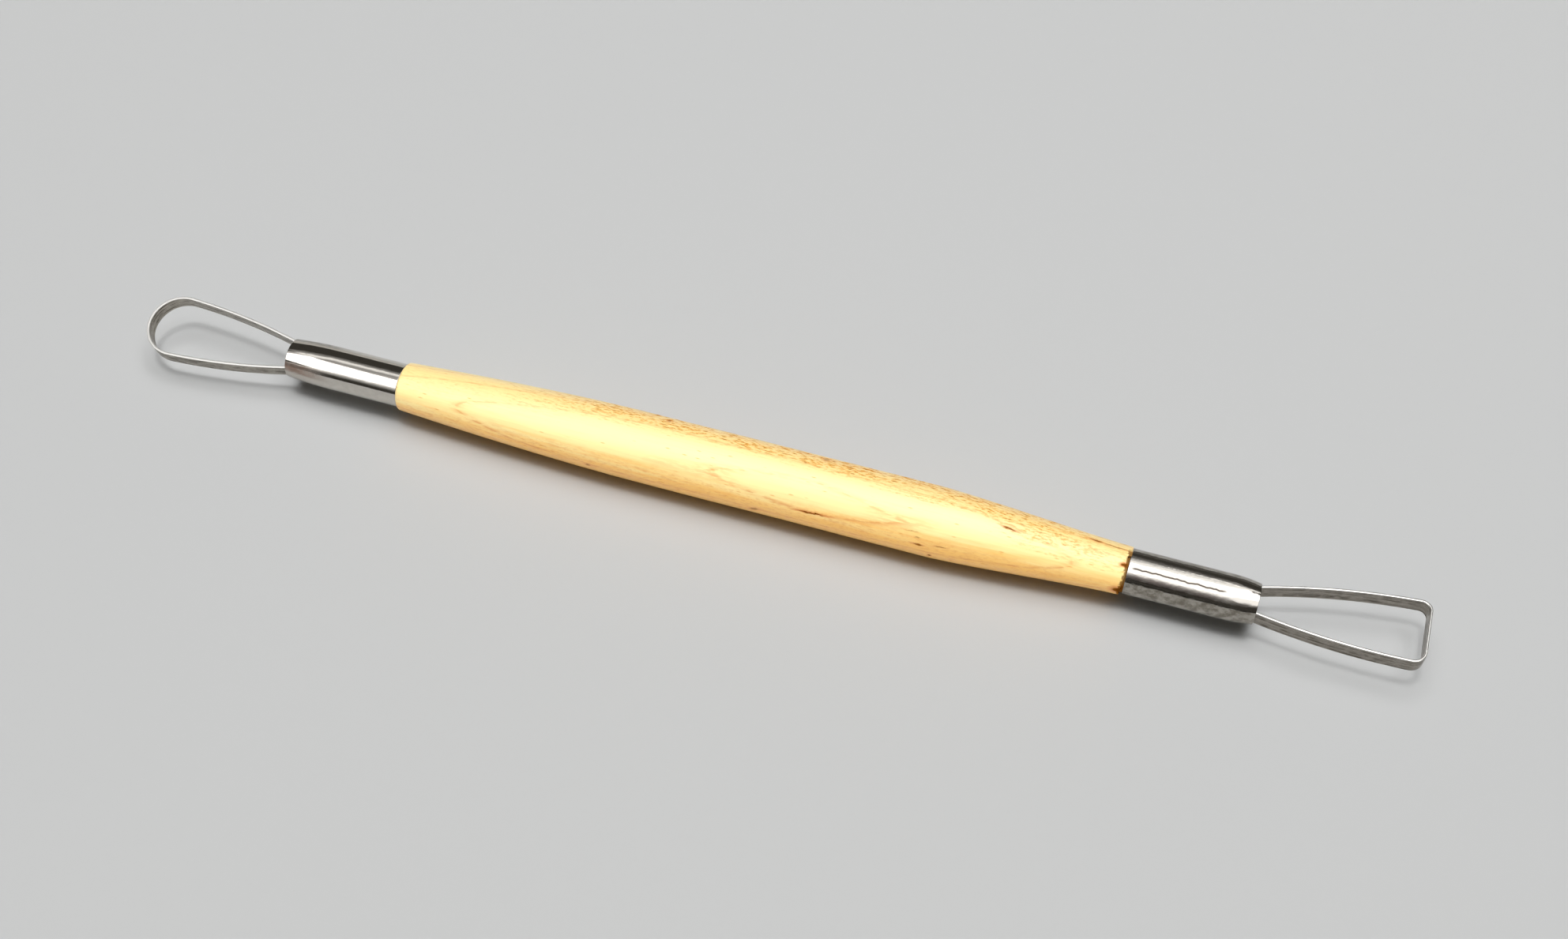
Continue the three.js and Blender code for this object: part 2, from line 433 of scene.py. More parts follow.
def sanded(x, turn):
    """The barrel's radius less the shallow waves of hand sanding, which never stand proud of it."""
    place = Vector((x / SANDING_WAVE, SANDING_ROUND * math.sin(turn), SANDING_ROUND * math.cos(turn)))
    wave = SANDING_STRENGTH * noise.noise(place)
    wave = (1 + max(-1, min(1, wave))) / 2
    return barrel(x) - bpy.context.scene.ribbon_tool_handle.sanding * wave


def half_turn_degrees(turn):
    """An angle in degrees from -180 to 180."""
    return (math.degrees(turn) + 180) % 360 - 180


def lip_at(turn):
    """Share of the lip's length that the wood has at an angle: a splinter on the far upper side."""
    degrees = half_turn_degrees(turn)
    return ramp(degrees, *LIP_STARTS) * (1 - ramp(degrees, *LIP_ENDS))


def gap_at(turn):
    """Share of the widest gap between the square shoulder and its ferrule: wide where the lip
    broke off, narrow over the top of the near side and wide again low down."""
    degrees = half_turn_degrees(turn)
    broken = 1 - ramp(degrees, *GAP_CLOSES)
    low = ramp(degrees, *LOW_GAP_OPENS) * (1 - ramp(degrees, *LOW_GAP_CLOSES))
    return LEAST_GAP + (1 - LEAST_GAP) * max(broken, low)


def teardrop_shoulder_rings(angles):
    """From the tenon's tip to the edge of the bevel at the teardrop end."""
    sizes = bpy.context.scene.ribbon_tool_handle
    tenon = TEARDROP.radius - bpy.context.scene.ribbon_tool_ferrules.wall - sizes.fit
    x = TEARDROP.shoulder
    edge = TEARDROP.radius + sizes.teardrop_step
    bevel = sizes.bevel
    profile = [
        (TEARDROP.tenon, tenon - bevel),
        (TEARDROP.tenon + bevel, tenon),
        (x - CORNER, tenon),
        (x, tenon + CORNER),
        (x, edge - bevel - 2 * THIN),
        (x + THIN, edge - bevel),
        *((x + bevel * along, edge - bevel * down) for along, down in BEVEL_CURVE),
    ]
    return [[around(along, radius, a) for a in angles] for along, radius in profile]


def barrel_rings(angles, step=0.45 * MM):
    """The turned surface between the two shoulders. Its last rings follow the uneven square end."""
    sizes = bpy.context.scene.ribbon_tool_handle
    start = TEARDROP.shoulder + sizes.bevel * 1.2
    stop = SQUARE.shoulder
    count = round((stop - start) / step)
    rings = []
    for i in range(count + 1):
        base = start + (stop - start) * i / count
        follow = ramp(base, stop - UNEVEN_STRETCH, stop)
        ring = []
        for a in angles:
            x = base + follow * (square_end(a) - 3 * THIN - stop)
            ring.append(around(x, sanded(x, a), a))
        rings.append(ring)
    return rings


def square_face(turn):
    """Where the square shoulder's face stands, short of the ferrule, broken off a little ragged."""
    sizes = bpy.context.scene.ribbon_tool_handle
    ragged = RAGGED * noise.noise(Vector((3 * math.sin(3 * turn), 3 * math.cos(3 * turn), 7)))
    return SQUARE.shoulder - sizes.gap * gap_at(turn) + ragged


def square_end(turn):
    """How far the wood's skin reaches at the square end, with the lip that laps over the ferrule."""
    face = square_face(turn)
    lip = SQUARE.shoulder + bpy.context.scene.ribbon_tool_handle.lip
    return face + (lip - face) * lip_at(turn)


def square_shoulder_rings(angles):
    """From the skin's edge round the lip, down the shoulder's face and out to the tenon's tip."""
    sizes = bpy.context.scene.ribbon_tool_handle
    tenon = SQUARE.radius - bpy.context.scene.ribbon_tool_ferrules.wall - sizes.fit
    over = SQUARE.radius + THIN
    top = SQUARE.radius + sizes.square_step - sizes.sanding
    profile = (
        (square_end, 0, top - CORNER),
        (square_end, SHARP, over + THIN),
        (square_end, -SHARP, over),
        (square_face, -THIN / 2, over - THIN / 2),
        (square_face, -THIN / 2, tenon + CORNER),
        (square_face, 2 * THIN, tenon),
    )
    rings = [
        [around(reach(a) + offset, radius, a) for a in angles]
        for reach, offset, radius in profile
    ]
    for x, radius in ((SQUARE.tenon - sizes.bevel, tenon), (SQUARE.tenon, tenon - sizes.bevel)):
        rings.append([around(x, radius, a) for a in angles])
    return rings


def build_handle(count=240):
    """The turned handle, with open grooves in its tenons for the ribbons' tails."""
    sizes = bpy.context.scene.ribbon_tool_handle
    strip = bpy.context.scene.ribbon_tool_ribbons
    angles = full_turn(count)
    rings = teardrop_shoulder_rings(angles) + barrel_rings(angles) + square_shoulder_rings(angles)
    piece = skin("turned_handle", rings)
    for end in ENDS:
        tip = (end.tenon - end.nose) * end.side
        carved(piece, tail_cutters(end, -strip.tail - sizes.fit, tip + PAST, sizes.fit, 2 * PAST))
    return dressed(piece, "handle", birch_material())


# Ferrules


def tube_radius(end, out):
    """Outer radius of a ferrule at a place counted from its nose, which is drawn in."""
    sizes = bpy.context.scene.ribbon_tool_ferrules
    draw = sizes.teardrop_draw if end is TEARDROP else sizes.square_draw
    t = max(0, 1 + out / draw)
    return end.radius - (end.radius - sizes.nose_radius) * t * t


def ferrule_outline(end, steps=48):
    """Closed outline of the tube's wall, as complex points of place along and radius."""
    sizes = bpy.context.scene.ribbon_tool_ferrules
    reach = abs(end.nose - end.shoulder)
    outs = [-reach + reach * i / steps for i in range(steps + 1)]
    outer = [complex(out, tube_radius(end, out)) for out in outs]
    inner = [point - 1j * sizes.wall for point in reversed(outer)]
    corners = []
    for side in (outer, inner):
        for i, point in enumerate(side):
            at_rim = i in (0, len(side) - 1)
            corners.append((point, sizes.edge if at_rim else 0))
    return softened(corners, steps=5)


def build_ferrule(end, count=180):
    """One thin tube, round all the way, with a drawn-in nose."""
    outline = ferrule_outline(end)
    turns = full_turn(count)
    rings = [
        [around(end.nose + end.side * point.real, point.imag, turn) for turn in turns]
        for point in outline
    ]
    piece = skin(f"{end.name}_tube", rings, joined=True)
    return dressed(piece, f"{end.name}_ferrule", polished_steel_material(end))


# Ribbons


# Steps along each part of a ribbon's middle line.
TAIL_STEPS = 6
LEG_STEPS = 30
TIP_STEPS = 36
CORNER_STEPS = 18
BAR_STEPS = 8


def straight(start, end, steps):
    """Points from start to just before end."""
    return [start + (end - start) * i / steps for i in range(steps)]


def bow_centre(start, end, to_end):
    """Centre of the leg's bow: a leg radius from start, to_end from end, right of the way between."""
    radius = bpy.context.scene.ribbon_tool_ribbons.leg_bow
    span = abs(end - start)
    along = (radius**2 - to_end**2 + span**2) / (2 * span)
    across = math.sqrt(radius**2 - along**2)
    return start + (end - start) / span * (along - 1j * across)


def teardrop_half(reach):
    """Middle line of the teardrop's +Y half: a leg that runs into the round tip."""
    sizes = bpy.context.scene.ribbon_tool_ribbons
    nose = 1j * tail_offset()
    tip = complex(reach - sizes.tip_radius)
    bow = bow_centre(nose, tip, sizes.leg_bow - sizes.tip_radius)
    meeting = cmath.phase(tip - bow)
    leg = arc(bow, sizes.leg_bow, cmath.phase(nose - bow), meeting, LEG_STEPS)
    return leg + arc(tip, sizes.tip_radius, meeting, 0, TIP_STEPS)[1:]


def square_half(reach, lean, corner_radius):
    """Middle line of one half of the square loop, drawn on the +Y side, up to the bar."""
    sizes = bpy.context.scene.ribbon_tool_ribbons
    nose = 1j * tail_offset()
    corner = complex(reach, sizes.half_width + lean)
    bow = bow_centre(nose, corner, sizes.leg_bow)
    along = reach - corner_radius - bow.real
    height = bow.imag + math.sqrt((sizes.leg_bow - corner_radius) ** 2 - along**2)
    bend = complex(reach - corner_radius, height)
    meeting = cmath.phase(bend - bow)
    leg = arc(bow, sizes.leg_bow, cmath.phase(nose - bow), meeting, LEG_STEPS)
    return leg + arc(bend, corner_radius, meeting, 0, CORNER_STEPS)[1:]


def loop_line(end):
    """Middle line of a whole ribbon, from one tail's end to the other's."""
    sizes = bpy.context.scene.ribbon_tool_ribbons
    reach = abs(end.tip - end.nose) - sizes.thickness / 2
    if end is TEARDROP:
        far = teardrop_half(reach)
        near = [p.conjugate() for p in reversed(far[:-1])]
        bar = []
    else:
        lean = reach * math.tan(sizes.lean)
        far = square_half(reach, lean, sizes.far_corner)
        near = [p.conjugate() for p in reversed(square_half(reach, -lean, sizes.near_corner))]
        bar = straight(far[-1], near[0], BAR_STEPS)[1:]
    far_tail = straight(far[0] - sizes.tail, far[0], TAIL_STEPS)
    near_tail = straight(near[-1] - sizes.tail, near[-1], TAIL_STEPS)
    return far_tail + far + bar + near + near_tail[::-1]


def strip_section():
    """Outline of the strip's section: across its thickness and up its width."""
    sizes = bpy.context.scene.ribbon_tool_ribbons
    x = sizes.thickness / 2
    y = sizes.width / 2
    corners = [complex(-x, -y), complex(x, -y), complex(x, y), complex(-x, y)]
    return softened([(corner, sizes.edge) for corner in corners])


def build_ribbon(end):
    """One strip on edge, bent along its middle line."""
    line = loop_line(end)
    section = strip_section()
    rings = []
    for i, point in enumerate(line):
        way = line[min(i + 1, len(line) - 1)] - line[max(i - 1, 0)]
        across = 1j * way / abs(way)
        ring = []
        for s in section:
            middle = point + across * s.real
            ring.append(placed(end, roll_of(end), middle.real, middle.imag, s.imag))
        rings.append(ring)
    piece = skin(f"{end.name}_loop", rings)
    return dressed(piece, f"{end.name}_ribbon", spring_steel_material(end))


# Cement


# Clearance round the plug and round the tails in it, the height of the lumps on its face, how many
# of them fit across it, and its rings along the tube.
CEMENT_GAP = 0.02 * MM
SLOT_GAP = 0.01 * MM
LUMP_HEIGHT = 0.12 * MM
LUMPS_ACROSS = 3.4
WALL_RINGS = 5


def build_cement(end, count=72, rows=14):
    """Plug of cement whose face has sunk in the middle and climbs the tube's wall."""
    sizes = bpy.context.scene.ribbon_tool_cement
    strip = bpy.context.scene.ribbon_tool_ribbons
    wall = bpy.context.scene.ribbon_tool_ferrules.wall
    turns = full_turn(count)
    back = -sizes.recess - sizes.depth
    rings = []
    for i in range(WALL_RINGS):
        out = back + sizes.depth * i / (WALL_RINGS - 1)
        rings.append([placed_round(end, out, tube_radius(end, out) - wall - CEMENT_GAP, t) for t in turns])
    rim = tube_radius(end, -sizes.recess) - wall - CEMENT_GAP
    for i in range(rows):
        # The last ring stops short of the middle, where it would have no size.
        share = 1 - (i + 0.6) / rows
        ring = []
        for t in turns:
            place = LUMPS_ACROSS * Vector((share * math.cos(t), share * math.sin(t), end.side / 2))
            lumps = LUMP_HEIGHT * noise.noise(place)
            sunk = sizes.hollow * (1 - share**6) - lumps * (1 - share**8)
            ring.append(placed_round(end, -sizes.recess - sunk, rim * share, t))
        rings.append(ring)
    piece = skin(f"{end.name}_cement", rings)
    carved(piece, tail_cutters(end, back - PAST, PAST, SLOT_GAP, strip.thickness / 2 + SLOT_GAP))
    return dressed(piece, f"{end.name}_bond", epoxy_material())


def placed_round(end, out, radius, turn):
    """A point of one end's own frame, at a radius and an angle about its axis."""
    return placed(end, 0, out, radius * math.sin(turn), radius * math.cos(turn))


# Materials


# The setting that the second word of a node's kind stands for.
MODES = {
    "Math": "operation",
    "VectorMath": "operation",
    "MapRange": "interpolation_type",
    "Mix": "data_type",
}

# The kinds of node used most. RAMP goes softly from one value to another, and SCALE goes evenly.
RAMP = "MapRange SMOOTHSTEP"
SCALE = "MapRange LINEAR"
BLEND = "Mix RGBA"
PLUS = "Math ADD"
MINUS = "Math SUBTRACT"
TIMES = "Math MULTIPLY"
LARGER = "Math MAXIMUM"


def add(tree, kind, *values, named=None):
    """Adds a node of a kind such as "Bump", or "Math ADD" where the kind has modes. Values go to its
    inputs in their order, or by name, and another node's output is linked. Returns the node's one
    output, or all of them by name where it has several."""
    kind, *mode = kind.split()
    node = tree.nodes.new(f"ShaderNode{kind}")
    for word in mode:
        setattr(node, MODES[kind], word)
    in_use = [socket for socket in node.inputs if socket.enabled]
    given = list(zip(in_use, values))
    given += [(node.inputs[name], value) for name, value in (named or {}).items()]
    for socket, value in given:
        if isinstance(value, bpy.types.NodeSocket):
            tree.links.new(value, socket)
        else:
            socket.default_value = value
    outputs = [socket for socket in node.outputs if socket.enabled]
    return outputs[0] if len(outputs) == 1 else node.outputs


def chained(tree, kind, first, *others):
    """Joins several values, two at a time, with nodes of one kind."""
    for other in others:
        first = add(tree, kind, first, other)
    return first


def layered(tree, ground, layers):
    """Lays colours over a ground, each with the share of the surface that it covers."""
    for share, tint in layers:
        ground = add(tree, BLEND, share, ground, tint)
    return ground


def new_material(name):
    """A new material and its empty node tree, or no tree where the material is there already."""
    material = bpy.data.materials.get(name)
    if material:
        return None, material
    material = bpy.data.materials.new(name)
    material.use_nodes = True
    material.node_tree.nodes.clear()
    return material.node_tree, material


def millimetre_place(tree, rotation=0):
    """Place on the tool in millimetres from the middle of its axis, turned about X if need be."""
    where = add(tree, "TexCoord")["Object"]
    centred = add(tree, "VectorMath SUBTRACT", where, (0, 0, AXIS_HEIGHT))
    return add(tree, "Mapping", centred, named={
        "Rotation": (-rotation, 0, 0),
        "Scale": (1 / MM, 1 / MM, 1 / MM),
    })


def along_and_about(tree, place):
    """Place along the tool in millimetres, and angle about its axis in degrees, counted from the
    top towards the near side."""
    parts = add(tree, "SeparateXYZ", place)
    turn = add(tree, "Math ARCTAN2", add(tree, TIMES, parts["Y"], -1.0), parts["Z"])
    return parts["X"], add(tree, "Math DEGREES", turn)


def pattern(tree, place, grain, detail=2.0, roughness=0.5):
    """Noise value whose grains have a size in millimetres along X, Y and Z."""
    found = add(tree, "TexNoise", add(tree, "VectorMath DIVIDE", place, grain), named={
        "Scale": 1.0,
        "Detail": detail,
        "Roughness": roughness,
    })
    return found["Fac"]


# Growth rings of the handle, in millimetres. The bark lay towards the near upper side.
BARK_ANGLE = math.radians(43)
RING_SPACING = 2.12
RING_PLACE = 3.26
LINE_HALF_WIDTH = 0.09
BAND_HALF_WIDTH = 0.24

# Ring lines bow towards both ends with the square of the distance, swell outwards near the bark at
# one place along the tool, drift apart at the teardrop end and wander a little everywhere.
RING_BOW = 0.00045
RING_BOW_MIDDLE = 6.0
SWELL_MIDDLE = 9.7
SWELL_LENGTH = 10.5
SWELL_HEIGHT = 0.45
SWELL_DEPTHS = (3.4, 4.9)
DRIFT = 0.13
DRIFT_STRETCH = (-12.0, -48.0)
WANDER = 0.13


def ring_depth(tree, place, x, side):
    """Depth of a place in the tree, in millimetres towards the bark. Ring lines lie at equal depths."""
    to_bark = (0, -math.sin(BARK_ANGLE), math.cos(BARK_ANGLE))
    height = add(tree, "VectorMath DOT_PRODUCT", place, to_bark)
    off = add(tree, MINUS, x, RING_BOW_MIDDLE)
    bow = chained(tree, TIMES, off, off, RING_BOW)
    away = add(tree, "Math DIVIDE", add(tree, MINUS, x, SWELL_MIDDLE), SWELL_LENGTH)
    bell = add(tree, "Math EXPONENT", chained(tree, TIMES, away, away, -1.0))
    swell = add(tree, TIMES, bell, add(tree, RAMP, height, *SWELL_DEPTHS, 0.0, SWELL_HEIGHT))
    drift = add(tree, TIMES, side, add(tree, RAMP, x, *DRIFT_STRETCH, 0.0, DRIFT))
    wander = pattern(tree, place, (16.67, 3.33, 3.33), detail=0.0)
    wander = add(tree, SCALE, wander, 0.25, 0.75, -WANDER, WANDER)
    return add(tree, MINUS, chained(tree, PLUS, height, swell, drift, wander), bow)


# A place in the wood in millimetres, its place along the tool, its angle about the axis in degrees,
# how far it lies to the low near side of the bark's middle, its depth in the tree, the streaks of
# the grain there, and how far they sway the borders between shades.
Wood = namedtuple("Wood", "place x turn side depth streak sway")


def wood_place(tree):
    """What the wood's patterns are drawn from."""
    place = millimetre_place(tree)
    x, turn = along_and_about(tree, place)
    to_side = (0, -math.cos(BARK_ANGLE), -math.sin(BARK_ANGLE))
    side = add(tree, "VectorMath DOT_PRODUCT", place, to_side)
    depth = ring_depth(tree, place, x, side)
    streak = pattern(tree, place, (20.0, 0.769, 0.769), detail=3.0)
    sway = add(tree, SCALE, streak, 0.3, 0.7, -0.8, 0.8)
    return Wood(place, x, turn, side, depth, streak, sway)


# From where to where shades of the wood set in or fade out, in millimetres: to the low near side of the
# bark's middle, in depth towards the bark, and along the tool. The honey of the low near side, which
# reaches further towards the square end, is painted shade.
SHADE_SIDE = (0.6, 4.2)
HONEY_DEPTH = (4.2, 2.4)
SHADE_ALONG = (0.0, 40.0)
CLOUD_SIDE = (0.2, 2.2)
BOLD_SIDE = (-1.0, 3.5)
SPECKLE_DEPTH = (4.3, 2.4)
SPECKLE_SIDE = (0.5, -0.5)
SPECKLE_TO_TEARDROP = (-44.0, -16.0)
SPECKLE_TO_SQUARE = (56.0, 40.0)
FAINT_SIDE = (0.8, 3.0)
BROWNED_SIDE = (-3.6, -3.0)
BROWNED_WIDTH = (-0.45, -0.1)


def honey_and_shade_share(tree, wood):
    """Share of the honey tone: painted shade that deepens the low near side, more so towards the square
    end, and a little of the wood's own honey outside the ring lines.
    """
    # Painted shade: the low near side, where less light falls, is drawn in honey, more so towards the
    # square end.
    towards_square = add(tree, RAMP, wood.x, *SHADE_ALONG, 0.0, 0.8)
    low = chained(tree, PLUS, wood.side, wood.sway, towards_square)
    low = add(tree, RAMP, low, *SHADE_SIDE)
    outside = add(tree, PLUS, wood.depth, wood.sway)
    outside = add(tree, RAMP, outside, *HONEY_DEPTH, 0.0, 0.12)
    return add(tree, LARGER, low, outside)


def cloud_share(tree, wood):
    """Share of honey clouds, about 3 mm long and 1 mm wide, on the low side."""
    clouds = pattern(tree, wood.place, (3.333, 1.25, 1.25), detail=3.0)
    clouds = add(tree, RAMP, clouds, 0.48, 0.7, 0.0, 0.18)
    return add(tree, TIMES, clouds, add(tree, RAMP, wood.side, *CLOUD_SIDE))


def ring_share(tree, wood):
    """Share of ring lines, broken into dashes and stronger low down, in a soft band of late wood."""
    from_ring = add(tree, MINUS, wood.depth, RING_PLACE)
    from_line = add(tree, "Math PINGPONG", from_ring, RING_SPACING / 2)
    line = add(tree, RAMP, from_line, 0.0, LINE_HALF_WIDTH, 1.0, 0.0)
    band = add(tree, RAMP, from_line, 0.0, BAND_HALF_WIDTH, 0.6, 0.0)
    dashes = pattern(tree, wood.place, (2.0, 0.4545, 0.4545), detail=3.0)
    dashes = add(tree, RAMP, dashes, 0.38, 0.6, 0.2, 1.0)
    bold = add(tree, RAMP, wood.side, *BOLD_SIDE, 0.5, 0.85)
    return chained(tree, TIMES, add(tree, LARGER, line, band), dashes, bold)


def speckle_shares(tree, wood):
    """Shares of the speckle where the rings are cut across on the far side: orange grains in long
    loose clusters, fewer towards the ends, brown open pores among them, and the faint grains low
    down on the near side. Grains are 1 mm long and 0.3 mm wide."""
    grains = pattern(tree, wood.place, (1.0, 0.286, 0.286), roughness=0.6)
    clusters = pattern(tree, wood.place, (4.545, 1.429, 1.429))
    cut_across = add(tree, PLUS, wood.depth, add(tree, TIMES, wood.sway, 0.7))
    clusters = chained(
        tree,
        TIMES,
        add(tree, RAMP, clusters, 0.32, 0.6, 0.45, 1.0),
        add(tree, RAMP, cut_across, *SPECKLE_DEPTH),
        add(tree, RAMP, wood.side, *SPECKLE_SIDE),
        add(tree, RAMP, wood.x, *SPECKLE_TO_TEARDROP, 0.15, 1.0),
        add(tree, RAMP, wood.x, *SPECKLE_TO_SQUARE, 0.45, 1.0),
    )
    speckle = add(tree, TIMES, clusters, add(tree, RAMP, grains, 0.43, 0.62, 0.15, 0.88))
    open_pores = add(tree, TIMES, clusters, add(tree, RAMP, grains, 0.58, 0.72, 0.0, 0.8))
    low_side = add(tree, RAMP, wood.side, *FAINT_SIDE, 0.0, 0.3)
    faint = add(tree, TIMES, low_side, add(tree, RAMP, grains, 0.5, 0.62))
    return speckle, open_pores, faint


def pore_share(tree, wood):
    """Share of sparse thin pores, which are brown dashes along the grain in cells of 2.5 mm."""
    stretched = add(tree, "VectorMath DIVIDE", wood.place, (2.5, 0.625, 0.625))
    cells = add(tree, "TexVoronoi", stretched, named={"Scale": 1.0})
    chosen = add(tree, "SeparateColor", cells["Color"])["Red"]
    dash = add(tree, RAMP, cells["Distance"], 0.05, 0.24, 0.5, 0.0)
    return add(tree, TIMES, dash, add(tree, RAMP, chosen, 0.6, 0.75))


def scorch_and_shade_share(tree, wood):
    """Share of the tenons and faces, which lie inside the skin: scorch and glue stain, and painted shade
    where they show in the gap at the shoulder.
    """
    # Partly painted shade: the recess between wood and ferrule is drawn dark brown.
    from_axis = add(tree, "VectorMath LENGTH", add(tree, "VectorMath MULTIPLY", wood.place, (0, 1, 1)))
    tube = SQUARE.radius / MM
    return add(tree, RAMP, from_axis, tube + 0.12, tube, 0.0, 0.9)


def browned_share(tree, wood):
    """Share of the browned ragged edge at the square shoulder, wider low down."""
    shoulder = SQUARE.shoulder / MM
    edge = add(tree, RAMP, wood.turn, 35.0, 95.0, shoulder - 0.2, shoulder - 0.55)
    ragged = pattern(tree, wood.place, (0.5, 0.333, 0.333))
    ragged = add(tree, SCALE, ragged, 0.3, 0.7, -0.15, 0.15)
    past = add(tree, PLUS, add(tree, MINUS, wood.x, edge), ragged)
    browned = add(tree, RAMP, past, *BROWNED_WIDTH, 0.0, 0.85)
    return add(tree, TIMES, browned, add(tree, RAMP, wood.side, *BROWNED_SIDE))


# Checks, long pores and scorched spots: place along, angle from the top towards the near side in
# degrees, half length, half width in millimetres, slope in degrees per millimetre, and how dark.
Flaw = namedtuple("Flaw", "x angle half_length half_width slope strength")
FLAWS = (
    Flaw(10.7, 71, 2.4, 0.17, -0.5, 1.0),
    Flaw(39.8, 12.3, 1.3, 0.2, 1.4, 0.8),
    Flaw(52.3, -21, 1.2, 0.28, 0.6, 0.75),
    Flaw(55.4, -18.5, 2.3, 0.2, 0.6, 0.5),
    Flaw(27.2, 79, 0.85, 0.17, 0, 0.75),
    Flaw(30.6, 73, 0.9, 0.13, 0, 0.5),
    Flaw(27.0, 66, 0.5, 0.1, 0, 0.35),
    Flaw(26.0, 57, 1.1, 0.09, 0, 0.3),
    Flaw(29.1, 101, 0.3, 0.3, 0, 0.8),
    Flaw(1.7, 98, 0.9, 0.35, -3, 0.5),
    Flaw(-25, 95, 0.5, 0.3, 0, 0.5),
    Flaw(-14.3, -31, 0.35, 0.45, 0, 0.6),
    Flaw(10.6, -35, 0.6, 0.7, 0, 0.35),
    Flaw(57.0, 22, 0.6, 0.45, 0, 0.9),
    Flaw(56.9, 90, 0.9, 1.0, 0, 0.9),
)

# From where to where a flaw's dark heart and its browned rim fade out, in shares of its half size.
FLAW_HEART = (0.4, 1.1)
FLAW_RIM = (0.8, 1.9)


def flaw_shares(tree, wood):
    """How dark the flaws are at each place, and the browned rims round them."""
    skin_per_degree = math.radians(BELLY_RADIUS / MM)
    ragged = pattern(tree, wood.place, (0.833, 0.333, 0.333))
    ragged = add(tree, SCALE, ragged, 0.3, 0.7, -0.12, 0.12)
    across = add(tree, PLUS, add(tree, TIMES, wood.turn, skin_per_degree), ragged)
    spot = add(tree, "CombineXYZ", wood.x, across, 1.0)
    hearts = 0.0
    rims = 0.0
    for flaw in FLAWS:
        slope = flaw.slope * skin_per_degree
        middle = flaw.angle * skin_per_degree
        lengthwise = Vector((1, 0, -flaw.x)) / flaw.half_length
        sideways = Vector((-slope, 1, slope * flaw.x - middle)) / flaw.half_width
        inside = add(
            tree,
            "CombineXYZ",
            add(tree, "VectorMath DOT_PRODUCT", spot, lengthwise),
            add(tree, "VectorMath DOT_PRODUCT", spot, sideways),
        )
        reach = add(tree, "VectorMath LENGTH", inside)
        hearts = add(tree, LARGER, hearts, add(tree, RAMP, reach, *FLAW_HEART, flaw.strength, 0.0))
        rims = add(tree, LARGER, rims, add(tree, RAMP, reach, *FLAW_RIM, flaw.strength, 0.0))
    return hearts, rims


def birch_material():
    """Turned birch, sanded and wiped with thin lacquer: pale straw wood with fine orange ring lines
    that close into long pointed loops, speckled where the rings are cut across, softly shiny, with
    painted shade in honey on the low near side and in dark brown on the tenons and faces at the shoulders."""
    tree, material = new_material("turned birch, thin lacquer")
    if not tree:
        return material
    sizes = bpy.context.scene.ribbon_tool_handle
    wood = wood_place(tree)
    fibre = pattern(tree, wood.place, (10.0, 0.333, 0.333), detail=3.0, roughness=0.6)
    speckle, open_pores, faint = speckle_shares(tree, wood)
    pores = pore_share(tree, wood)
    flaws, rims = flaw_shares(tree, wood)
    browned = browned_share(tree, wood)
    tint = layered(tree, sizes.pale, (
        # Painted shade: the honey layer deepens the low near side, where less light falls.
        (honey_and_shade_share(tree, wood), sizes.deep_and_shade),
        (cloud_share(tree, wood), sizes.late),
        (add(tree, RAMP, fibre, 0.46, 0.72, 0.0, 0.1), sizes.late),
        (ring_share(tree, wood), sizes.late),
        (speckle, sizes.speckle),
        (open_pores, sizes.pores),
        (faint, sizes.late),
        (add(tree, LARGER, pores, rims), sizes.late),
        (flaws, sizes.stain),
        # Tenons and faces: scorch and painted shade in the shoulder gap; the browned ragged edge is
        # scorch.
        (add(tree, LARGER, scorch_and_shade_share(tree, wood), browned), sizes.stain),
    ))

    # Lacquer sinks into checks, scorched wood and the rings' ends and leaves them dull.
    open_wood = chained(tree, LARGER, flaws, browned, speckle, pores)
    sunk = add(tree, PLUS, add(tree, TIMES, flaws, 2.0), add(tree, TIMES, speckle, 0.3))
    shader = add(tree, "BsdfPrincipled", named={
        "Base Color": tint,
        "Roughness": add(tree, RAMP, wood.streak, 0.3, 0.7, 0.4, 0.5),
        "IOR": 1.5,
        "Specular IOR Level": add(tree, RAMP, open_wood, 0.0, 0.8, 0.5, 0.0),
        "Coat Weight": add(tree, RAMP, open_wood, 0.0, 0.8, 1.0, 0.0),
        "Coat Roughness": 0.32,
        "Coat IOR": 1.55,
        "Normal": add(tree, "Bump", named={
            "Strength": 0.4,
            "Distance": 0.02 * MM,
            "Height": add(tree, MINUS, fibre, sunk),
        }),
    })
    add(tree, "OutputMaterial", shader)
    return material


# The wandering scratch on the square ferrule: where it starts and ends, in millimetres behind the
# nose, its angle from the top towards the near side in degrees, and the lengths of its faint ends.
SCRATCH_START = 18.95
SCRATCH_END = 4.25
SCRATCH_ANGLE = 24.0
SCRATCH_TAPERS = (0.8, 1.2)

# From where to where the scratch's line and its softer sides fade out, in millimetres from its
# middle, and how far it wanders to both sides.
SCRATCH_LINE = (0.06, 0.13)
SCRATCH_SIDES = (0.08, 0.38)
SCRATCH_WANDER = 0.14

# Grain of a pattern that stays the same all round a ferrule, in millimetres.
ALL_ROUND = 1000.0

# Heights of the ferrules' relief against each other: waves and lines left by drawing, and ripples.
WAVE_RELIEF = 3.0
LINE_RELIEF = 0.12
RIPPLE_RELIEF = 4.0


